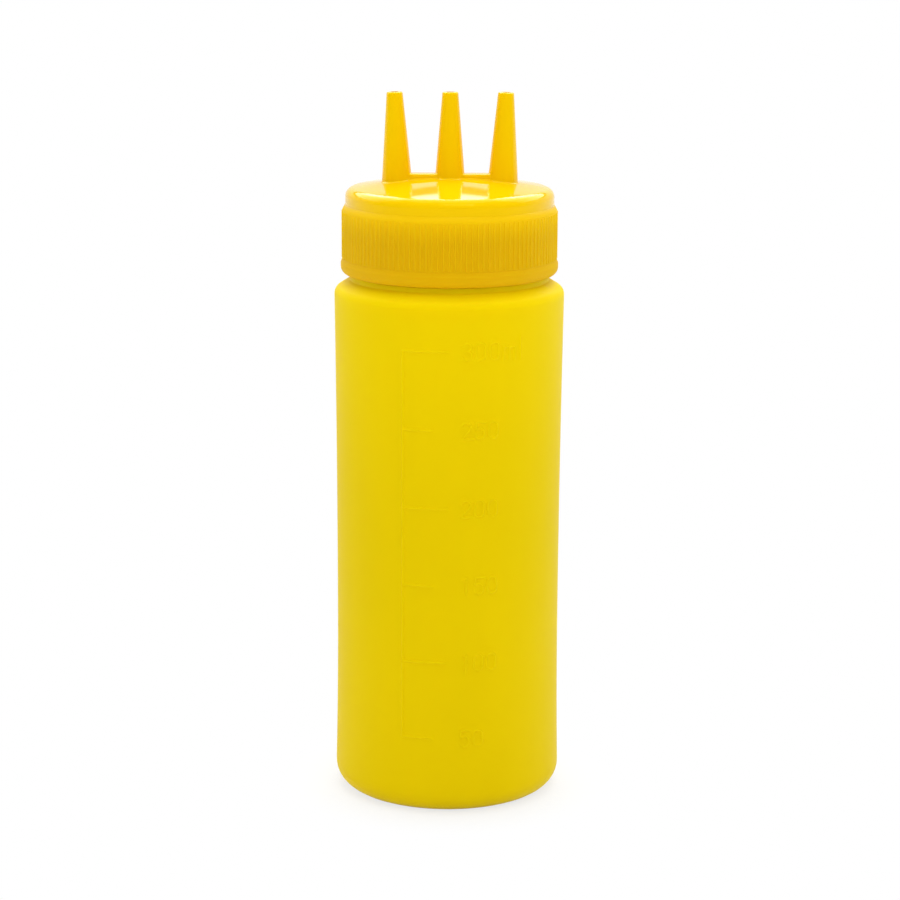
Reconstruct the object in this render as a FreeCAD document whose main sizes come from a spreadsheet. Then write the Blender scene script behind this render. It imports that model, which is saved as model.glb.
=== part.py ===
"""Squeeze bottle with a screw cap that carries a row of three tapered nozzles.

Millimetres, +Z up. The origin is the centre of the foot, on the surface the bottle
stands on. The row of nozzles runs along X, and the front of the bottle faces -Y.

bottle: blow-moulded body, shut by the cap, so it is one solid up to its neck rim.
cap:    moulded screw cap, open below, seated on the neck rim, with bored nozzles.
"""
import FreeCAD, Part
import math
import os

import Sketcher

# Driving dimensions: millimetres, degrees and counts.
SIZES = {
    # bottle body
    "bottle_radius": 29.5,        # at the corner of the shoulder
    "body_height": 132.35,        # foot to the corner of the shoulder
    "waist_height": 46.0,
    "waist_draw": 0.64,           # how far the waist lies inside the shoulder
    "foot_draw": 0.02,            # how far the foot lies inside the shoulder
    "foot_round": 6.2,
    "punt_radius": 20.0,
    "punt_rise": 2.0,
    "shoulder_round": 2.4,
    "shoulder_slope": 31.0,
    # collar and neck
    "neck_inset": 4.5,            # neck wall inside the shoulder corner
    "collar_step": 0.56,          # ledge between collar and neck
    "collar_rise": 1.15,
    "collar_blend": 0.4,
    "neck_rise": 20.22,           # ledge to neck rim
    "rim_round": 0.5,
    # cap shell
    "neck_clearance": 0.3,        # radial play between neck and skirt
    "ledge_gap": 0.3,             # cap bottom above the collar ledge
    "skirt_wall": 2.15,
    "lid_wall": 1.7,
    "dome_rise": 2.87,
    "seat_width": 2.6,            # flat ring under the lid that bears on the neck rim
    "lip_inset": 0.75,            # top lip inside the skirt
    "lip_height": 3.85,
    "lip_slope": 1.35,            # height of the slope from the lip out to the skirt
    "lip_round": 2.3,
    "skirt_round": 1.5,
    "bead_proud": 0.39,
    "bead_height": 4.0,
    "bead_slope": 1.1,
    "bead_round": 0.35,
    "skirt_foot_round": 2.0,
    "mouth_chamfer": 0.2,
    # grip ribs
    "rib_count": 120,
    "rib_proud": 0.15,
    "rib_width": 0.8,
    "rib_crest": 0.35,
    "rib_margin": 0.3,            # plain band above and below the ribs
    # nozzles
    "nozzle_pitch": 13.5,
    "nozzle_lean": 1.6,
    "nozzle_rise": 21.7,          # top of the dome to the nozzle tips
    "nozzle_root_radius": 3.8,    # at the height of the top of the dome
    "nozzle_tip_radius": 2.06,
    "tip_round": 0.4,
    "nozzle_sink": 2.0,           # depth of the nozzle roots below the top of the dome
    "bore_tip_radius": 1.1,
    "bore_root_radius": 2.5,
    "web_thickness": 4.4,
    "web_rise": 1.1,              # top of the dome to the top of the web
    "web_round": 0.4,
    "root_blend": 0.4,
}

# How edges are recognised: lengths in millimetres, the cosine of a lean, and a count.
SAME_PLACE = 0.01
ON_SURFACE = 0.001
LEVEL = 0.999
POINTS_ALONG_EDGE = 5
LEAST_CUT = 1.0                   # cubic millimetres that a turned cut takes away at least

# Formulas that several sketches share.
NECK_RADIUS = "(sizes.bottle_radius - sizes.neck_inset)"
COLLAR_RADIUS = f"({NECK_RADIUS} + sizes.collar_step)"
SHOULDER_RUN = f"(sizes.bottle_radius - {COLLAR_RADIUS})"
COLLAR_FOOT = f"(sizes.body_height + {SHOULDER_RUN} * tan(sizes.shoulder_slope))"
LEDGE = f"({COLLAR_FOOT} + sizes.collar_rise)"
NECK_RIM = f"({LEDGE} + sizes.neck_rise)"
WAIST_RADIUS = "(sizes.bottle_radius - sizes.waist_draw)"
FOOT_RADIUS = "(sizes.bottle_radius - sizes.foot_draw)"

# The cap is drawn on its own foot and then set down on the neck rim.
CAP_FOOT = f"({LEDGE} + sizes.ledge_gap)"
SEAT = "(sizes.neck_rise - sizes.ledge_gap)"
SKIRT_BORE = f"({NECK_RADIUS} + sizes.neck_clearance)"
SKIRT_RADIUS = f"({SKIRT_BORE} + sizes.skirt_wall)"
LIP_TOP = f"({SEAT} + sizes.lid_wall)"
LIP_FOOT = f"({LIP_TOP} - sizes.lip_height)"
SKIRT_TOP = f"({LIP_FOOT} - sizes.lip_slope)"
LIP_RADIUS = f"({SKIRT_RADIUS} - sizes.lip_inset)"
DOME_TOP = f"({LIP_TOP} + sizes.dome_rise)"
DOME_RADIUS = f"(({LIP_RADIUS}^2 + sizes.dome_rise^2) / (2 * sizes.dome_rise))"
VAULT_RADIUS = f"({DOME_RADIUS} - sizes.lid_wall)"
VAULT_EDGE = f"({SKIRT_BORE} - sizes.seat_width)"
DOME_CENTRE = f"({DOME_TOP} - {DOME_RADIUS})"
VAULT_SPRING = f"({DOME_CENTRE} + sqrt({VAULT_RADIUS}^2 - {VAULT_EDGE}^2))"

doc = FreeCAD.newDocument("SqueezeBottle")
sheet = doc.addObject("Spreadsheet::Sheet", "sizes")
for row, (alias, size) in enumerate(SIZES.items(), start=1):
    sheet.set(f"A{row}", alias)
    sheet.set(f"B{row}", str(size))
    sheet.setAlias(f"B{row}", alias)
doc.recompute()


def worth(formula):
    """The number that a formula of sheet values gives."""
    return float(sheet.evalExpression(formula))


def arc_radius(rise, run):
    """Formula for an arc that starts level with its centre and moves rise up and run across."""
    return f"((({rise})^2 + ({run})^2) / (2 * ({run})))"


def origin_plane(body, role):
    """One of the body's own origin planes."""
    return next(item for item in body.Origin.OriginFeatures if item.Role == role)


def new_sketch(body, name, role):
    """A sketch that lies on an origin plane of its own body."""
    sketch = body.newObject("Sketcher::SketchObject", name)
    sketch.AttachmentSupport = [(origin_plane(body, role), "")]
    sketch.MapMode = "FlatFace"
    return sketch


def pin(sketch, edge, end, axis, formula):
    """Fixes one coordinate of an edge's end to a formula of sheet values."""
    if formula == "0":
        crossed = -2 if axis == "X" else -1
        sketch.addConstraint(Sketcher.Constraint("PointOnObject", edge, end, crossed))
        return
    index = sketch.addConstraint(
        Sketcher.Constraint(f"Distance{axis}", -1, 1, edge, end, worth(formula)))
    sketch.setExpression(f"Constraints[{index}]", formula)


def bent(start, end, radius, side):
    """Arc from start to end, with its centre to the left (side 1) or right (side -1)."""
    half = (end - start) / 2
    across = FreeCAD.Vector(-half.y, half.x, 0) * (side / half.Length)
    centre = start + half + across * math.sqrt(radius ** 2 - half.Length ** 2)
    angles = [math.atan2(point.y - centre.y, point.x - centre.x) for point in (start, end)]
    if side < 0:
        angles.reverse()
    if angles[1] < angles[0]:
        angles[1] += 2 * math.pi
    circle = Part.Circle(centre, FreeCAD.Vector(0, 0, 1), radius)
    return Part.ArcOfCircle(circle, *angles)


def draw(sketch, corners):
    """Closed outline through the corners, each (x, y) or (x, y, arc radius, side of centre)."""
    spots = [FreeCAD.Vector(worth(corner[0]), worth(corner[1]), 0) for corner in corners]
    ends = []
    for number, corner in enumerate(corners):
        start, end = spots[number], spots[(number + 1) % len(corners)]
        if len(corner) == 2:
            edge = sketch.addGeometry(Part.LineSegment(start, end), False)
            ends.append((edge, 1, 2))
            continue
        radius, side = corner[2:]
        edge = sketch.addGeometry(bent(start, end, worth(radius), side), False)
        ends.append((edge, 1, 2) if side > 0 else (edge, 2, 1))
    for number, (edge, first, last) in enumerate(ends):
        follower, follower_first, _ = ends[(number + 1) % len(ends)]
        joint = Sketcher.Constraint("Coincident", edge, last, follower, follower_first)
        sketch.addConstraint(joint)
    for (edge, first, _), corner in zip(ends, corners):
        pin(sketch, edge, first, "X", corner[0])
        pin(sketch, edge, first, "Y", corner[1])
        if len(corner) > 2:
            index = sketch.addConstraint(Sketcher.Constraint("Radius", edge, worth(corner[2])))
            sketch.setExpression(f"Constraints[{index}]", corner[2])
    return sketch


def turn(body, kind, name, sketch):
    """Turns a sketch full circle about its own vertical axis, and checks that a cut cuts."""
    before = body.Shape.Volume if kind == "Groove" else 0.0
    feature = body.newObject(f"PartDesign::{kind}", name)
    feature.Profile = sketch
    feature.ReferenceAxis = (sketch, ["V_Axis"])
    feature.Angle = 360
    doc.recompute()
    if kind == "Groove" and before - feature.Shape.Volume < LEAST_CUT:
        raise RuntimeError(f"{name} removes nothing")
    return feature


def soften(body, name, feature, chosen, size, kind="Fillet"):
    """Fillet or chamfer on the feature's edges that the test chooses."""
    edges = feature.Shape.Edges
    names = [f"Edge{number}" for number, edge in enumerate(edges, start=1)
             if not edge.Degenerated and chosen(edge)]
    if not names:
        raise RuntimeError(f"{name} finds no edge")
    softened = body.newObject(f"PartDesign::{kind}", name)
    softened.Base = (feature, names)
    softened.setExpression("Radius" if kind == "Fillet" else "Size", size)
    doc.recompute()
    return softened


def ring(radius, height):
    """Test for a round edge about the Z axis with that radius and height."""
    wanted = (worth(radius), worth(height))

    def chosen(edge):
        curve = edge.Curve
        if not isinstance(curve, Part.Circle):
            return False
        off_axis = math.hypot(curve.Center.x, curve.Center.y)
        level = abs(curve.Axis.z) > LEVEL and off_axis < SAME_PLACE
        return level and math.dist(wanted, (curve.Radius, curve.Center.z)) < SAME_PLACE

    return chosen


def make_bottle():
    """Waisted body on a round foot, sloped shoulder, collar and neck."""
    body = doc.addObject("PartDesign::Body", "Bottle")
    body.Label = "bottle"
    lower_side = arc_radius("sizes.waist_height", "sizes.waist_draw - sizes.foot_draw")
    upper_side = arc_radius("sizes.body_height - sizes.waist_height", "sizes.waist_draw")
    punt = arc_radius("sizes.punt_radius", "sizes.punt_rise")
    profile = draw(new_sketch(body, "BottleProfile", "XZ_Plane"), [
        ("0", NECK_RIM),
        ("0", "sizes.punt_rise", punt, -1),
        ("sizes.punt_radius", "0"),
        (FOOT_RADIUS, "0", lower_side, -1),
        (WAIST_RADIUS, "sizes.waist_height", upper_side, -1),
        ("sizes.bottle_radius", "sizes.body_height"),
        (COLLAR_RADIUS, COLLAR_FOOT),
        (COLLAR_RADIUS, LEDGE),
        (NECK_RADIUS, LEDGE),
        (NECK_RADIUS, NECK_RIM),
    ])
    turned = turn(body, "Revolution", "BottleTurned", profile)
    foot = soften(body, "FootRound", turned, ring(FOOT_RADIUS, "0"), "sizes.foot_round")
    corner = ring("sizes.bottle_radius", "sizes.body_height")
    shoulder = soften(body, "ShoulderRound", foot, corner, "sizes.shoulder_round")
    collar_foot = ring(COLLAR_RADIUS, COLLAR_FOOT)
    collar = soften(body, "CollarBlend", shoulder, collar_foot, "sizes.collar_blend")
    soften(body, "NeckRimRound", collar, ring(NECK_RADIUS, NECK_RIM), "sizes.rim_round")
    return body


def place_on_row(sketch, step):
    """Stands an upright sketch at its place in the nozzle row, leaning away from the middle."""
    sketch.setExpression("AttachmentOffset.Base.x", f"{step} * sizes.nozzle_pitch")
    sketch.setExpression("AttachmentOffset.Base.y", DOME_TOP)
    sketch.setExpression("AttachmentOffset.Rotation.Angle", f"{-step} * sizes.nozzle_lean")
    return sketch


def add_nozzle(body, step):
    """Outside of one nozzle, from inside the lid to its tip."""
    flare = "(sizes.nozzle_root_radius - sizes.nozzle_tip_radius) / sizes.nozzle_rise"
    sketch = new_sketch(body, f"NozzleProfile{step + 2}", "XZ_Plane")
    draw(sketch, [
        ("0", "sizes.nozzle_rise"),
        ("0", "-sizes.nozzle_sink"),
        (f"sizes.nozzle_root_radius + sizes.nozzle_sink * {flare}", "-sizes.nozzle_sink"),
        ("sizes.nozzle_tip_radius", "sizes.nozzle_rise - sizes.tip_round", "sizes.tip_round", 1),
        ("sizes.nozzle_tip_radius - sizes.tip_round", "sizes.nozzle_rise"),
    ])
    return turn(body, "Revolution", f"Nozzle{step + 2}", place_on_row(sketch, step))


def bore_nozzle(body, step):
    """Tapered bore of one nozzle, from under the lid out through the tip."""
    depth = f"({DOME_TOP} - {SEAT})"
    flare = "(sizes.bore_root_radius - sizes.bore_tip_radius) / sizes.nozzle_rise"
    sketch = new_sketch(body, f"BoreProfile{step + 2}", "XZ_Plane")
    draw(sketch, [
        ("0", "sizes.nozzle_rise"),
        ("0", f"-{depth}"),
        (f"sizes.bore_root_radius + {depth} * {flare}", f"-{depth}"),
        ("sizes.bore_tip_radius", "sizes.nozzle_rise"),
    ])
    return turn(body, "Groove", f"Bore{step + 2}", place_on_row(sketch, step))


def add_web(body):
    """Low wall with a rounded top that joins the three nozzles."""
    side = "sizes.web_thickness / 2"
    foot = f"({DOME_TOP} - sizes.nozzle_sink)"
    top = f"({DOME_TOP} + sizes.web_rise)"
    sketch = draw(new_sketch(body, "WebSection", "YZ_Plane"), [
        (f"-{side}", foot),
        (side, foot),
        (side, f"{top} - sizes.web_round", "sizes.web_round", 1),
        (f"{side} - sizes.web_round", top),
        (f"sizes.web_round - {side}", top, "sizes.web_round", 1),
        (f"-{side}", f"{top} - sizes.web_round"),
    ])
    web = body.newObject("PartDesign::Pad", "Web")
    web.Profile = sketch
    web.Midplane = True
    web.setExpression("Length", "2 * sizes.nozzle_pitch")
    doc.recompute()
    return web


def blend_nozzle_roots(body, feature):
    """Softens the web's ends, then the whole root line on the dome."""
    web_half = worth("sizes.web_thickness") / 2
    centre = FreeCAD.Vector(0, 0, worth(DOME_CENTRE))
    dome_radius = worth(DOME_RADIUS)
    row_end = worth("sizes.nozzle_pitch + 2 * sizes.nozzle_root_radius")

    def points(edge):
        return edge.discretize(Number=POINTS_ALONG_EDGE)

    def web_end(edge):
        upright = abs(edge.Vertexes[0].Z - edge.Vertexes[-1].Z) > worth("sizes.web_rise") / 2
        beside = all(abs(abs(point.y) - web_half) < ON_SURFACE for point in points(edge))
        return upright and beside

    def root(edge):
        on_dome = all(abs((point - centre).Length - dome_radius) < ON_SURFACE
                      for point in points(edge))
        return on_dome and edge.BoundBox.XMax < row_end

    ends = soften(body, "WebEndBlend", feature, web_end, "sizes.root_blend")
    soften(body, "RootBlend", ends, root, "sizes.root_blend")


def add_ribs(body):
    """Upright grip ribs all round the skirt."""
    foot = "(sizes.bead_height + sizes.rib_margin)"
    sketch = new_sketch(body, "RibSection", "XY_Plane")
    sketch.setExpression("AttachmentOffset.Base.z", foot)
    draw(sketch, [
        (f"{SKIRT_RADIUS} - sizes.rib_proud", "-sizes.rib_width / 2"),
        (f"{SKIRT_RADIUS} + sizes.rib_proud", "-sizes.rib_crest / 2"),
        (f"{SKIRT_RADIUS} + sizes.rib_proud", "sizes.rib_crest / 2"),
        (f"{SKIRT_RADIUS} - sizes.rib_proud", "sizes.rib_width / 2"),
    ])
    rib = body.newObject("PartDesign::Pad", "Rib")
    rib.Profile = sketch
    rib.setExpression("Length", f"{SKIRT_TOP} - sizes.rib_margin - {foot}")
    doc.recompute()
    ribs = body.newObject("PartDesign::PolarPattern", "Ribs")
    ribs.Originals = [rib]
    ribs.Axis = (sketch, ["N_Axis"])
    ribs.Angle = 360
    ribs.setExpression("Occurrences", "sizes.rib_count")
    body.Tip = ribs
    doc.recompute()


def make_cap():
    """Domed lid with a lip, ribbed skirt, nozzle row and cored inside."""
    body = doc.addObject("PartDesign::Body", "Cap")
    body.Label = "cap"
    profile = draw(new_sketch(body, "CapProfile", "XZ_Plane"), [
        ("0", DOME_TOP),
        ("0", "0"),
        (f"{SKIRT_RADIUS} + sizes.bead_proud", "0"),
        (f"{SKIRT_RADIUS} + sizes.bead_proud", "sizes.bead_height - sizes.bead_slope"),
        (SKIRT_RADIUS, "sizes.bead_height"),
        (SKIRT_RADIUS, SKIRT_TOP),
        (LIP_RADIUS, LIP_FOOT),
        (LIP_RADIUS, LIP_TOP, DOME_RADIUS, 1),
    ])
    turned = turn(body, "Revolution", "CapTurned", profile)
    lip = soften(body, "LipRound", turned, ring(LIP_RADIUS, LIP_TOP), "sizes.lip_round")
    skirt_top = ring(SKIRT_RADIUS, SKIRT_TOP)
    skirt = soften(body, "SkirtRound", lip, skirt_top, "sizes.skirt_round")
    bead_radius = f"({SKIRT_RADIUS} + sizes.bead_proud)"
    bead_top = ring(bead_radius, "sizes.bead_height - sizes.bead_slope")
    bead = soften(body, "BeadTopRound", skirt, bead_top, "sizes.bead_round")
    soften(body, "SkirtFootRound", bead, ring(bead_radius, "0"), "sizes.skirt_foot_round")
    add_ribs(body)
    nozzle_steps = (-1, 0, 1)
    for step in nozzle_steps:
        add_nozzle(body, step)
    blend_nozzle_roots(body, add_web(body))
    for step in nozzle_steps:
        bore_nozzle(body, step)
    inside = draw(new_sketch(body, "InsideProfile", "YZ_Plane"), [
        ("0", f"{DOME_TOP} - sizes.lid_wall"),
        ("0", "0"),
        (f"{SKIRT_BORE} + sizes.mouth_chamfer", "0"),
        (SKIRT_BORE, "sizes.mouth_chamfer"),
        (SKIRT_BORE, SEAT),
        (VAULT_EDGE, SEAT),
        (VAULT_EDGE, VAULT_SPRING, VAULT_RADIUS, 1),
    ])
    turn(body, "Groove", "Inside", inside)
    body.setExpression("Placement.Base.z", CAP_FOOT)
    return body


def write(bodies):
    """Checks the whole document, then writes each sub-part to a file named by its label."""
    doc.recompute()
    for item in doc.Objects:
        if "Invalid" in item.State or "Error" in item.State:
            raise RuntimeError(f"{item.Label}: {item.State}")
    for body in bodies:
        if body.Shape.isNull() or not body.Shape.isValid() or len(body.Shape.Solids) != 1:
            raise RuntimeError(f"{body.Label} is not one valid solid")
    os.makedirs("parts", exist_ok=True)
    for body in bodies:
        body.Shape.exportStep(f"parts/{body.Label}.step")


write([make_bottle(), make_cap()])
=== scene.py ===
"""Looks of the squeeze bottle: satin translucent body with a raised fill scale, glossy cap.

Shapes are written in millimetres, in the frame of the CAD model, and scaled to metres when
a mesh is made. Materials, floor shadow, lamps and camera are written in metres.
"""

import math

import bpy
import numpy as np
from mathutils import Matrix, Vector
from mathutils.geometry import delaunay_2d_cdt


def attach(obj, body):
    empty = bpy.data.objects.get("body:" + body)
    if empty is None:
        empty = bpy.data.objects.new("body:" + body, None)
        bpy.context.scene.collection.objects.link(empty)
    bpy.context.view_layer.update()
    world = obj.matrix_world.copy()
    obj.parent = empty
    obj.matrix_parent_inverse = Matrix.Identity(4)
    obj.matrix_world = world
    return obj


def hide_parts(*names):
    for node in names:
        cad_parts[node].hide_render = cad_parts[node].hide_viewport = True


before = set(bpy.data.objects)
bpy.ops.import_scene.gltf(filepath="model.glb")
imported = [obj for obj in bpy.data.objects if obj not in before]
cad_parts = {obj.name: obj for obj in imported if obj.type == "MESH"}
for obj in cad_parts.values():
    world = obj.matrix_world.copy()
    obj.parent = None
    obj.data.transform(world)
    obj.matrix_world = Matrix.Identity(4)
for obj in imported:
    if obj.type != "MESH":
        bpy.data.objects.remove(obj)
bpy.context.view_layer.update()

MM = 0.001
TURN = 2 * math.pi

# Bottle, as in the CAD model, apart from a ledge 0.2 mm higher.
SHOULDER_RADIUS = 29.5
SHOULDER_HEIGHT = 132.35
SHOULDER_SLOPE = 31
SHOULDER_ROUND = 2.4
WAIST_RADIUS = SHOULDER_RADIUS - 0.64
WAIST_HEIGHT = 46.0
FOOT_RADIUS = SHOULDER_RADIUS - 0.02
FOOT_ROUND = 6.2
PUNT_RADIUS = 20.0
PUNT_RISE = 2.0
PUNT_ROUND = 0.6
NECK_RADIUS = SHOULDER_RADIUS - 4.5
COLLAR_RADIUS = NECK_RADIUS + 0.56
COLLAR_RUN = SHOULDER_RADIUS - COLLAR_RADIUS
COLLAR_FOOT = SHOULDER_HEIGHT + COLLAR_RUN * math.tan(math.radians(SHOULDER_SLOPE))
COLLAR_BLEND = 0.4
LEDGE = COLLAR_FOOT + 1.35
LEDGE_ROUND = 0.15
NECK_RIM = COLLAR_FOOT + 21.37
RIM_ROUND = 0.5

# Lathe grid, with a finer panel on the front for the fill scale. Columns are counted from
# the front, and rows are given by their radius in the punt and by their height on the wall.
SEGMENTS = 240
ROW_PITCH = 1.5
PUNT_ROWS = (0, 2, 5, 8, 11, 14, 17)
ROWS_BELOW_PANEL = (8.0, 10.0, 13.0)
ROW_ABOVE_PANEL = 129.5
PANEL_COLUMNS = (-20, 34)
PANEL_HEIGHTS = (15.5, 128.0)
ARC_STEPS = 10

# Relief of a raised stroke, and the mesh along it: rows of points beside the centre line,
# in half widths, the step along it, the least gap, and the margin kept free of grid points.
STROKE_HALF = 0.42
STROKE_RISE = 0.27
STROKE_ROWS = (-1.15, -0.75, -0.38, 0.0, 0.38, 0.75, 1.15)
STROKE_STEP = 0.22
STROKE_GAP = 0.12
STROKE_MARGIN = 2.2 * STROKE_HALF
MERGE_WITHIN = 1e-6
TINY_SQUARE = 1e-12

# Fill scale, drawn as arc length from the front and height.
SCALE_TEXTS = ("50", "100", "150", "200", "250", "300ml")
SCALE_FOOT = 20.65
SCALE_PITCH = 20.03
SCALE_LINE = -11.7
LONG_TICK_END = -0.45
SHORT_TICK_END = -4.2
NUMERAL_START = 3.3
NUMERAL_ADVANCE = 3.45
NUMERAL_WIDTH = 2.3
NUMERAL_HEIGHT = 4.3
LETTER_HEIGHT = 3.1
LETTER_ADVANCE = NUMERAL_ADVANCE * 1.45
UNIT_SPACE = 0.1

# Plastic. The pigment is a mix of clouds and of streaks drawn out along the height, and
# darkens where the mix is high. The gloss varies with the fine grain and the slow waves.
DRAWN_OUT = (1, 1, 0.22)
STREAKS_PER_CLOUD = 3.0
STREAK_SHARE = 0.5
CLOUD_EDGES = (0.36, 0.64)
CLOUD_SHADE = 0.975
WAVE_SHARE = 0.4
GRAIN_SHARE = 0.6
GLOSS_EDGES = (0.3, 0.7)
GLOSS_SWING = (0.85, 1.15)
YELLOW_DEPTH = (1.0, 0.8, 0.1)
YELLOW_SHEEN = (1.0, 0.85, 0.1, 1.0)

# Floor: millimetres for its shape, metres for where the contact shadow fades.
FLOOR_RADIUS = 7000.0
FLOOR_CORNERS = 96
FLOOR_LEVEL = -0.02
FLOOR_GREY = (0.86, 0.86, 0.86, 1)
WHITE = (1, 1, 1, 1)
SHADOW_FADE = (0.028, 0.045)
WHITE_BY_FOOT = 0.75

# Studio: even light from the front and the back, and what a mirror sees behind the object
# (from and to which height in degrees, how bright).
DIFFUSE_FRONT = 0.62
DIFFUSE_BACK = 1.05
FRONT_TO_BACK = (-0.6, 0.7)
MIRRORED_BANDS = ((-2.0, 19.0, 0.75), (23.0, 60.0, 3.2))
MIRRORED_REST = 0.12
MIRRORED_SIDES = (-0.1, 0.3)
BAND_EDGE = 0.7

# Lamps: name, place, aim, size and power.
SOFTBOXES = (
    ("softbox_top", (0.0, 0.1, 1.1), (0, 0, 0.1), (0.9, 0.9), 4.5),
    ("softbox_front", (0.15, -0.75, 1.05), (0, 0, 0.13), (0.6, 0.4), 3.4),
    ("softbox_back", (0.0, 0.85, 0.85), (0, 0, 0.16), (0.8, 0.35), 3.0),
)

# Camera: lens and sensor in millimetres, place and range in metres, angles in degrees.
LENS, SENSOR = 110.2, 36.0
CAMERA_RANGE = (0.05, 30.0)
CAMERA_PLACE = (0.00040, -0.7, 0.24162)
CAMERA_PITCH = 90 - 12.244
CAMERA_ROLL = 0.305


# ---------------------------------------------------------------- profile

def side_radius(z):
    """Radius of the waisted body wall at height z."""
    z = np.asarray(z, float)
    radius = np.full(z.shape, WAIST_RADIUS)
    for low, high, run in (
            (0.0, WAIST_HEIGHT, FOOT_RADIUS - WAIST_RADIUS),
            (WAIST_HEIGHT, SHOULDER_HEIGHT, SHOULDER_RADIUS - WAIST_RADIUS)):
        rise = high - low
        arc = (rise ** 2 + run ** 2) / (2 * run)
        away = np.clip(z, low, high) - WAIST_HEIGHT
        radius = radius + arc - np.sqrt(arc ** 2 - away ** 2)
    return radius


def rounded(corners):
    """Polyline through corners (x, y, fillet radius), with each fillet as an arc."""
    line = []
    for number, (x, y, radius) in enumerate(corners):
        here = Vector((x, y))
        if radius == 0:
            line.append((x, y))
            continue
        back = (Vector(corners[number - 1][:2]) - here).normalized()
        on = (Vector(corners[number + 1][:2]) - here).normalized()
        half = back.angle(on) / 2
        centre = here + (back + on).normalized() * (radius / math.sin(half))
        reach = radius / math.tan(half)
        start, end = here + back * reach - centre, here + on * reach - centre
        first = math.atan2(start.y, start.x)
        sweep = (math.atan2(end.y, end.x) - first + math.pi) % TURN - math.pi
        for step in range(ARC_STEPS + 1):
            angle = first + sweep * step / ARC_STEPS
            line.append((centre.x + radius * math.cos(angle),
                         centre.y + radius * math.sin(angle)))
    return line


def bottle_rows():
    """Radius and height of each lathe row, from the middle of the punt to the neck rim."""
    arc = (PUNT_RADIUS ** 2 + PUNT_RISE ** 2) / (2 * PUNT_RISE)
    punt = [(r, PUNT_RISE - arc + math.sqrt(arc ** 2 - r ** 2)) for r in PUNT_ROWS]
    count = round((PANEL_HEIGHTS[1] - PANEL_HEIGHTS[0]) / ROW_PITCH)
    heights = [*ROWS_BELOW_PANEL, *np.linspace(*PANEL_HEIGHTS, count + 1), ROW_ABOVE_PANEL]
    wall = [(float(side_radius(z)), float(z), 0) for z in heights]
    corners = [
        (PUNT_RADIUS, 0, PUNT_ROUND),
        (FOOT_RADIUS, 0, FOOT_ROUND),
        *wall,
        (SHOULDER_RADIUS, SHOULDER_HEIGHT, SHOULDER_ROUND),
        (COLLAR_RADIUS, COLLAR_FOOT, COLLAR_BLEND),
        (COLLAR_RADIUS, LEDGE, LEDGE_ROUND),
        (NECK_RADIUS, LEDGE, 0),
        (NECK_RADIUS, NECK_RIM, RIM_ROUND),
        (0, NECK_RIM, 0),
    ]
    return punt[:-1] + rounded([(*punt[-1], 0), *corners])


# ---------------------------------------------------------------- fill scale

def bow(cx, cy, rx, ry, start, end, steps=14):
    """Points along an elliptic arc, angles in degrees."""
    return [(cx + rx * math.cos(math.radians(start + (end - start) * k / steps)),
             cy + ry * math.sin(math.radians(start + (end - start) * k / steps)))
            for k in range(steps + 1)]


def glyph(sign):
    """Centre lines of a sign's strokes, from its lower left corner.

    The numbers are shares of the width w and the height h of a numeral, or of the height x
    of a small letter, and angles in degrees.
    """
    w, h, x = NUMERAL_WIDTH, NUMERAL_HEIGHT, LETTER_HEIGHT
    half = w / 2
    if sign == "0":
        return [bow(half, h - half, half, half, 0, 180)
                + bow(half, half, half, half, 180, 360)
                + [(w, h - half)]]
    if sign == "1":
        return [[(0.35 * w, h - 0.25 * w), (0.62 * w, h), (0.62 * w, 0)]]
    if sign == "2":
        return [bow(half, h - half, half, half, 170, -25) + [(0, 0), (w, 0)]]
    if sign == "3":
        upper, lower = 0.23 * h, 0.27 * h
        return [bow(half, h - upper, 0.9 * half, upper, 150, -90)
                + bow(half, lower, half, lower, 90, -150)]
    if sign == "5":
        bowl = 0.32 * h
        return [[(0.95 * w, h), (0.12 * w, h), (0.04 * w, 0.56 * h)]
                + bow(half, bowl, half, bowl, 125, -150)]
    if sign == "m":
        arch = 0.72 * half
        lines = [[(0, 0), (0, x)]]
        for start in (0, 2 * arch):
            lines.append([(start, x - arch * 1.1)]
                         + bow(start + arch, x - arch, arch, arch, 170, 0, steps=8)
                         + [(start + 2 * arch, 0)])
        return lines
    return [[(0, 0), (0, 1.06 * h)]]


def scale_strokes():
    """All centre lines of the fill scale: upright line, marks and numerals."""
    top = SCALE_FOOT + (len(SCALE_TEXTS) - 1) * SCALE_PITCH
    strokes = [[(SCALE_LINE, SCALE_FOOT), (SCALE_LINE, top)]]
    for number, text in enumerate(SCALE_TEXTS):
        level = SCALE_FOOT + number * SCALE_PITCH
        tick_end = LONG_TICK_END if number % 2 else SHORT_TICK_END
        strokes.append([(SCALE_LINE, level), (tick_end, level)])
        pen = NUMERAL_START
        for sign in text:
            for line in glyph(sign):
                strokes.append([(pen + a, level - NUMERAL_HEIGHT / 2 + b) for a, b in line])
            pen += NUMERAL_ADVANCE if sign.isdigit() else LETTER_ADVANCE
            if sign == "0" and text.endswith("ml"):
                pen += UNIT_SPACE
    return strokes


def resampled(line, step):
    """Even points along a polyline, corners kept, with the direction at each."""
    out = []
    for (ax, ay), (bx, by) in zip(line[:-1], line[1:]):
        length = math.hypot(bx - ax, by - ay)
        if length == 0:
            continue
        count = max(1, round(length / step))
        heading = ((bx - ax) / length, (by - ay) / length)
        for k in range(count + 1):
            share = k / count
            out.append((ax + (bx - ax) * share, ay + (by - ay) * share, *heading))
    return out


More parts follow.
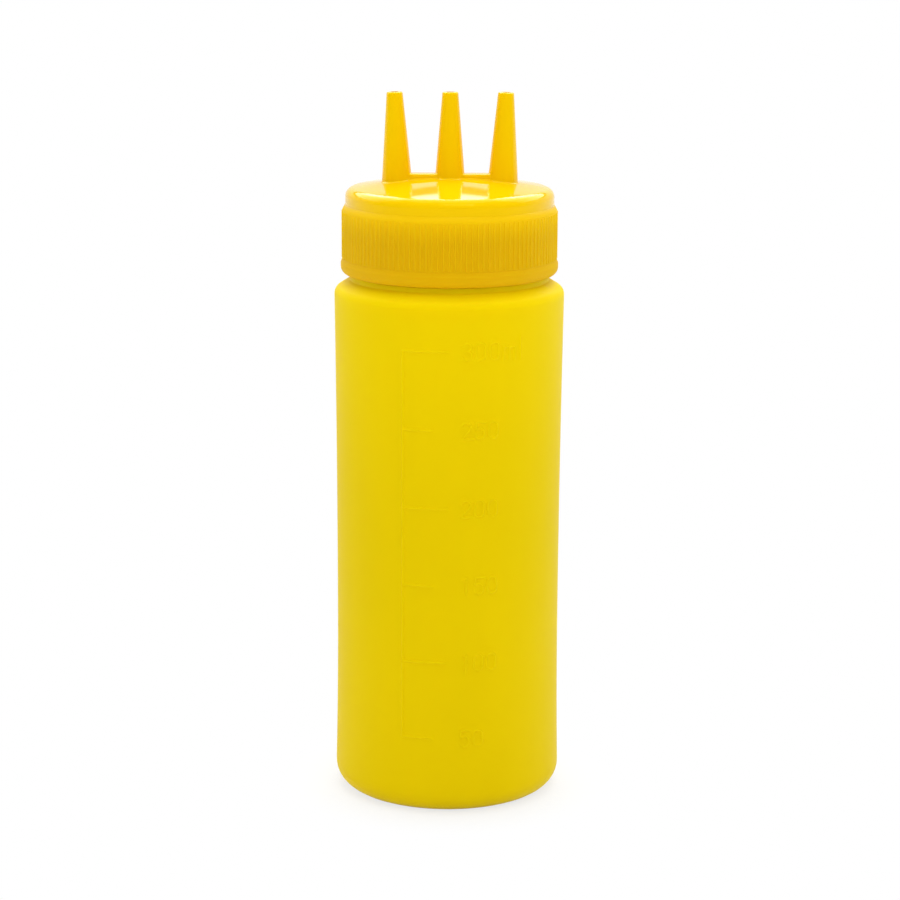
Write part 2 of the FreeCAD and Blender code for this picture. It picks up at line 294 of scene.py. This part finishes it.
def stroke_rise(points, strokes):
    """Rise of the raised strokes at each point, and its distance from the nearest stroke."""
    starts = np.array([a for line in strokes for a in line[:-1]])
    runs = np.array([b for line in strokes for b in line[1:]]) - starts
    squares = (runs ** 2).sum(1) + TINY_SQUARE
    nearest = np.full(len(points), np.inf)
    for start, run, square in zip(starts, runs, squares):
        share = np.clip(((points - start) @ run) / square, 0, 1)
        gap = points - start - share[:, None] * run
        nearest = np.minimum(nearest, np.hypot(gap[:, 0], gap[:, 1]))
    swell = np.clip(nearest / STROKE_HALF, 0, 1)
    return STROKE_RISE * (1 + np.cos(math.pi * swell)) / 2, nearest


def thinned(points, taken, gap):
    """Points that keep at least a gap from each other and from those taken before."""
    cells = {}

    def near(x, y):
        column, row = int(x // gap), int(y // gap)
        return any(math.hypot(x - a, y - b) < gap
                   for i in (-1, 0, 1) for j in (-1, 0, 1)
                   for a, b in cells.get((column + i, row + j), ()))

    def keep(x, y):
        cells.setdefault((int(x // gap), int(y // gap)), []).append((x, y))

    for x, y in taken:
        keep(x, y)
    kept = []
    for x, y in points:
        if not near(x, y):
            keep(x, y)
            kept.append((x, y))
    return kept


# ---------------------------------------------------------------- bottle

def add_piece(name, points, faces):
    """Object with a mesh of points in millimetres, linked to the scene."""
    mesh = bpy.data.meshes.new(name)
    mesh.from_pydata([tuple(c * MM for c in point) for point in points], [], faces)
    piece = bpy.data.objects.new(name, mesh)
    bpy.context.scene.collection.objects.link(piece)
    return piece


class Shell:
    """Points and faces of the bottle: a lathe grid with a finer panel let into its front."""

    def __init__(self):
        self.rows = bottle_rows()
        self.first_row, self.last_row = [self.nearest_row(z) for z in PANEL_HEIGHTS]
        self.first_column, self.last_column = PANEL_COLUMNS
        self.points, self.faces, self.index = [], [], {}
        self.add_wall()
        self.add_panel()

    def nearest_row(self, height):
        return min(range(len(self.rows)), key=lambda k: abs(self.rows[k][1] - height))

    def spot(self, radius, angle, z):
        """Adds a point, its angle counted from the front, and gives its number."""
        self.points.append((radius * math.sin(angle), -radius * math.cos(angle), z))
        return len(self.points) - 1

    def corner(self, row, column):
        """Number of a point of the lathe grid, which is added at its first use."""
        radius, z = self.rows[row]
        key = (row, 0 if radius == 0 else column % SEGMENTS)
        if key not in self.index:
            self.index[key] = self.spot(radius, key[1] * TURN / SEGMENTS, z)
        return self.index[key]

    def in_panel(self, row, column):
        turned = column - SEGMENTS if column >= SEGMENTS // 2 else column
        return (self.first_row <= row < self.last_row
                and self.first_column <= turned < self.last_column)

    def add_wall(self):
        """Faces of the lathe grid, all round, with a window for the panel."""
        for row in range(len(self.rows) - 1):
            for column in range(SEGMENTS):
                if self.in_panel(row, column):
                    continue
                face = [self.corner(row, column), self.corner(row, column + 1),
                        self.corner(row + 1, column + 1), self.corner(row + 1, column)]
                self.faces.append(list(dict.fromkeys(face)))

    def panel_border(self):
        """Rows and columns of the grid points round the panel, in order."""
        low, high = self.first_row, self.last_row
        left, right = self.first_column, self.last_column
        return ([(low, column) for column in range(left, right)]
                + [(row, right) for row in range(low, high)]
                + [(high, column) for column in range(right, left, -1)]
                + [(row, left) for row in range(high, low, -1)])

    def add_panel(self):
        """The panel, laid flat: grid points away from the strokes, and rows along them."""
        wrap = float(side_radius(WAIST_HEIGHT))
        step = TURN / SEGMENTS * wrap
        strokes = scale_strokes()
        grid = {(row, column): (column * step, self.rows[row][1])
                for row in range(self.first_row, self.last_row + 1)
                for column in range(self.first_column, self.last_column + 1)}
        border = self.panel_border()
        inner = [key for key in grid if key not in set(border)]
        _, gaps = stroke_rise(np.array([grid[key] for key in inner]), strokes)
        flat = [grid[key] for key in border]
        flat += [grid[key] for key, gap in zip(inner, gaps) if gap > STROKE_MARGIN]
        fine = []
        for offset in sorted(STROKE_ROWS, key=abs):
            aside = offset * STROKE_HALF
            for line in strokes:
                for x, y, along, up in resampled(line, STROKE_STEP):
                    fine.append((x - aside * up, y + aside * along))
        fine = thinned(fine, flat, STROKE_GAP)
        plane = [Vector(p) for p in flat + fine]
        ring = list(range(len(border)))
        edges = list(zip(ring, ring[1:] + ring[:1]))
        spots, _, faces, origins = delaunay_2d_cdt(plane, edges, [], 0, MERGE_WITHIN)[:4]
        spots = np.array([tuple(p) for p in spots])
        rises, _ = stroke_rise(spots, strokes)
        radii = side_radius(spots[:, 1]) + rises
        known = {number: self.corner(*key) for number, key in enumerate(border)}
        panel = []
        for (x, z), radius, sources in zip(spots, radii, origins):
            shared = [known[source] for source in sources if source in known]
            panel.append(shared[0] if shared else self.spot(radius, x / wrap, z))
        self.faces += [[panel[k] for k in face] for face in faces]


def make_bottle():
    """Finer mesh of the bottle's outline, with the fill scale, in place of the solid."""
    shell = Shell()
    piece = add_piece("bottle_body", shell.points, shell.faces)
    piece.data.validate()
    piece.data.shade_smooth()
    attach(piece, "root")
    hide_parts("bottle")
    return piece


# ---------------------------------------------------------------- materials

class Graph:
    """Short way to place and link shader nodes."""

    def __init__(self, owner):
        owner.use_nodes = True
        self.tree = owner.node_tree
        self.tree.nodes.clear()

    def put(self, value, socket):
        """Links an output to a socket, or sets a plain value on it."""
        if isinstance(value, bpy.types.NodeSocket):
            self.tree.links.new(value, socket)
        else:
            socket.default_value = value

    def add(self, kind, **inputs):
        """Node with its inputs, named as on the node, or i and a number."""
        settings = inputs.pop("settings", {})
        node = self.tree.nodes.new(kind)
        for name, value in settings.items():
            setattr(node, name, value)
        for name, value in inputs.items():
            key = int(name[1:]) if name[1:].isdigit() else name.replace("_", " ")
            self.put(value, node.inputs[key])
        return node

    def math(self, operation, a, b=0.0, c=0.0):
        return self.add("ShaderNodeMath", settings={"operation": operation},
                        i0=a, i1=b, i2=c).outputs[0]

    def noise(self, vector, scale, detail, roughness):
        return self.add("ShaderNodeTexNoise", Vector=vector, Scale=scale, Detail=detail,
                        Roughness=roughness).outputs["Fac"]

    def spread(self, value, low, high, to_low, to_high, easing="LINEAR"):
        """Maps a value from one range to another."""
        return self.add("ShaderNodeMapRange", settings={"interpolation_type": easing},
                        Value=value, i1=low, i2=high, i3=to_low, i4=to_high).outputs[0]

    def blend(self, share, one, other):
        """Mix of two numbers."""
        return self.add("ShaderNodeMix", settings={"data_type": "FLOAT"},
                        i0=share, i2=one, i3=other).outputs[0]

    def tint(self, share, one, other):
        """Mix of two colours, each an output or three numbers."""
        node = self.add("ShaderNodeMix", settings={"data_type": "RGBA"}, i0=share)
        for number, colour in ((6, one), (7, other)):
            linked = isinstance(colour, bpy.types.NodeSocket)
            self.put(colour if linked else (*colour, 1), node.inputs[number])
        return node.outputs[2]


def plastic(name, low, high, painted_light_heights, rough, polished, glow, glowing, mottle, grain, waves,
            **shader):
    """Moulded plastic: cloudy pigment with painted light up the height, uneven gloss, a fine
    grain and slow waves in the wall.

    low and high are the painted shaded and lit colours, below and above the two heights in
    painted_light_heights. In the same way rough (the roughness) goes with polished, and glow
    (how much light passes through the wall) with glowing. mottle, grain and waves are sizes
    in metres. grain and waves come with a bump height.
    """
    material = bpy.data.materials.new(name)
    g = Graph(material)
    place = g.add("ShaderNodeTexCoord").outputs["Object"]
    drawn = g.add("ShaderNodeMapping", Vector=place, Scale=DRAWN_OUT).outputs[0]
    height = g.add("ShaderNodeSeparateXYZ", Vector=place).outputs["Z"]

    cloud = g.noise(place, 1 / mottle, detail=3.0, roughness=0.55)
    streak = g.noise(drawn, STREAKS_PER_CLOUD / mottle, detail=2.0, roughness=0.5)
    mixed = g.math("MULTIPLY_ADD", streak, STREAK_SHARE,
                   g.math("MULTIPLY", cloud, 1 - STREAK_SHARE))
    # Painted light: the colour goes from low below to high above, lighter where more light
    # falls from above.
    painted_light_share = g.spread(height, *painted_light_heights, 0.0, 1.0, easing="SMOOTHSTEP")
    clear = g.tint(painted_light_share, low, high)
    cloudy = g.tint(painted_light_share, [CLOUD_SHADE * c for c in low], [CLOUD_SHADE * c for c in high])
    colour = g.tint(g.spread(mixed, *CLOUD_EDGES, 0.0, 1.0), clear, cloudy)

    fine = g.noise(place, 1 / grain[0], detail=2.0, roughness=0.6)
    slow = g.noise(drawn, 1 / waves[0], detail=1.0, roughness=0.4)
    both = g.math("MULTIPLY_ADD", slow, WAVE_SHARE, g.math("MULTIPLY", fine, GRAIN_SHARE))
    uneven = g.spread(both, *GLOSS_EDGES, *GLOSS_SWING)
    gloss = g.math("MULTIPLY", uneven, g.spread(height, *polished, *rough))
    wavy = g.add("ShaderNodeBump", Height=slow, Strength=1.0, Distance=waves[1])
    bumpy = g.add("ShaderNodeBump", Height=fine, Strength=1.0, Distance=grain[1],
                  Normal=wavy.outputs[0])

    surface = g.add("ShaderNodeBsdfPrincipled", Base_Color=colour, Roughness=gloss,
                    Normal=bumpy.outputs[0],
                    Subsurface_Weight=g.spread(height, *glowing, *glow),
                    Subsurface_Radius=YELLOW_DEPTH, Specular_Tint=YELLOW_SHEEN, **shader)
    g.add("ShaderNodeOutputMaterial", Surface=surface.outputs[0])
    return material


def dress(piece, material):
    """Gives a piece one material."""
    piece.data.materials.clear()
    piece.data.materials.append(material)


bottle_plastic = plastic(
    "bottle_plastic",
    # Painted light: the body grows lighter up to the shoulder as light falls from above, and
    # stays light on the shoulder in the shade under the cap.
    low=(0.785, 0.58, 0.0012), high=(0.865, 0.64, 0.0012), painted_light_heights=(0.070, 0.138),
    rough=(0.45, 0.45), polished=(0.10, 0.12),
    glow=(0.3, 0.6), glowing=(0.126, 0.131),
    mottle=0.03, grain=(0.00035, 0.000004), waves=(0.012, 0.00003),
    IOR=1.15, Specular_IOR_Level=0.3, Subsurface_Scale=0.004)
cap_plastic = plastic(
    "cap_plastic",
    # The cap's own orange, with painted light: lighter towards the rim and lid, as light
    # falls from above and through the rim.
    low=(0.745, 0.435, 0.0012), high=(0.94, 0.59, 0.0012), painted_light_heights=(0.146, 0.156),
    rough=(0.75, 0.05), polished=(0.1530, 0.1545),
    glow=(0.4, 0.15), glowing=(0.1505, 0.1530),
    mottle=0.02, grain=(0.0005, 0.0000006), waves=(0.008, 0.000006),
    IOR=1.5, Specular_IOR_Level=0.3, Subsurface_Scale=0.003)

dress(make_bottle(), bottle_plastic)
dress(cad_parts["cap"], cap_plastic)


# ---------------------------------------------------------------- floor, light and camera

def make_floor():
    """Round white floor that keeps the contact shadow and fades to plain white."""
    angles = [TURN * k / FLOOR_CORNERS for k in range(FLOOR_CORNERS)]
    rim = [(FLOOR_RADIUS * math.cos(angle), FLOOR_RADIUS * math.sin(angle), FLOOR_LEVEL)
           for angle in angles]
    floor = add_piece("floor", rim, [list(range(FLOOR_CORNERS))])
    material = bpy.data.materials.new("floor_white")
    g = Graph(material)
    place = g.add("ShaderNodeTexCoord").outputs["Object"]
    away = g.add("ShaderNodeVectorMath", settings={"operation": "LENGTH"},
                 i0=place).outputs["Value"]
    ray = g.add("ShaderNodeLightPath").outputs
    seen = g.math("MAXIMUM", g.math("MAXIMUM", ray["Is Camera Ray"], ray["Is Glossy Ray"]),
                  ray["Is Transmission Ray"])
    far = g.spread(away, *SHADOW_FADE, WHITE_BY_FOOT, 1.0, easing="SMOOTHSTEP")
    matt = g.add("ShaderNodeBsdfDiffuse", Color=FLOOR_GREY)
    white = g.add("ShaderNodeEmission", Color=WHITE, Strength=1.0)
    mixed = g.add("ShaderNodeMixShader", i0=g.math("MULTIPLY", seen, far),
                  i1=matt.outputs[0], i2=white.outputs[0])
    g.add("ShaderNodeOutputMaterial", Surface=mixed.outputs[0])
    dress(floor, material)


def band_edge(g, height, angle, below, above):
    """Soft edge of a mirrored band, at an angle above the horizon in degrees."""
    return g.spread(height, math.sin(math.radians(angle - BAND_EDGE)),
                    math.sin(math.radians(angle + BAND_EDGE)), below, above)


def make_world():
    """White to the camera, with soft light that is stronger from behind.

    A backdrop with a softbox above it is there for the polished lid to mirror.
    """
    world = bpy.data.worlds.new("studio")
    bpy.context.scene.world = world
    g = Graph(world)
    ray = g.add("ShaderNodeLightPath").outputs
    way = g.add("ShaderNodeTexCoord").outputs["Generated"]
    parts = g.add("ShaderNodeSeparateXYZ", Vector=way).outputs
    around = g.spread(parts["Y"], *FRONT_TO_BACK, DIFFUSE_FRONT, DIFFUSE_BACK)
    bands = 0.0
    for low, high, level in MIRRORED_BANDS:
        rise = band_edge(g, parts["Z"], low, 0.0, level)
        fall = band_edge(g, parts["Z"], high, 1.0, 0.0)
        bands = g.math("MULTIPLY_ADD", rise, fall, bands)
    behind = g.spread(parts["Y"], *MIRRORED_SIDES, 0.0, 1.0)
    mirrored = g.math("MULTIPLY_ADD", bands, behind, MIRRORED_REST)
    strength = g.blend(ray["Is Glossy Ray"], around, mirrored)
    strength = g.blend(ray["Is Camera Ray"], strength, 1.0)
    back = g.add("ShaderNodeBackground", Color=WHITE, Strength=strength)
    g.add("ShaderNodeOutputWorld", Surface=back.outputs[0])


def add_softbox(name, place, aim, size, power):
    """Rectangular lamp at a place, turned to its aim."""
    lamp = bpy.data.lights.new(name, "AREA")
    lamp.shape = "RECTANGLE"
    lamp.size, lamp.size_y = size
    lamp.energy = power
    holder = bpy.data.objects.new(name, lamp)
    bpy.context.scene.collection.objects.link(holder)
    holder.location = place
    holder.rotation_euler = (Vector(aim) - Vector(place)).to_track_quat("-Z", "Y").to_euler()


def add_camera():
    """Long lens, a little above the object and looking down on it."""
    lens = bpy.data.cameras.new("camera")
    lens.lens, lens.sensor_width = LENS, SENSOR
    lens.clip_start, lens.clip_end = CAMERA_RANGE
    camera = bpy.data.objects.new("camera", lens)
    bpy.context.scene.collection.objects.link(camera)
    pitch = Matrix.Rotation(math.radians(CAMERA_PITCH), 4, "X")
    roll = Matrix.Rotation(math.radians(CAMERA_ROLL), 4, "Z")
    camera.matrix_world = Matrix.Translation(CAMERA_PLACE) @ pitch @ roll
    bpy.context.scene.camera = camera


make_floor()
make_world()
for softbox in SOFTBOXES:
    add_softbox(*softbox)
add_camera()

scene = bpy.context.scene
scene.view_settings.view_transform = "Standard"
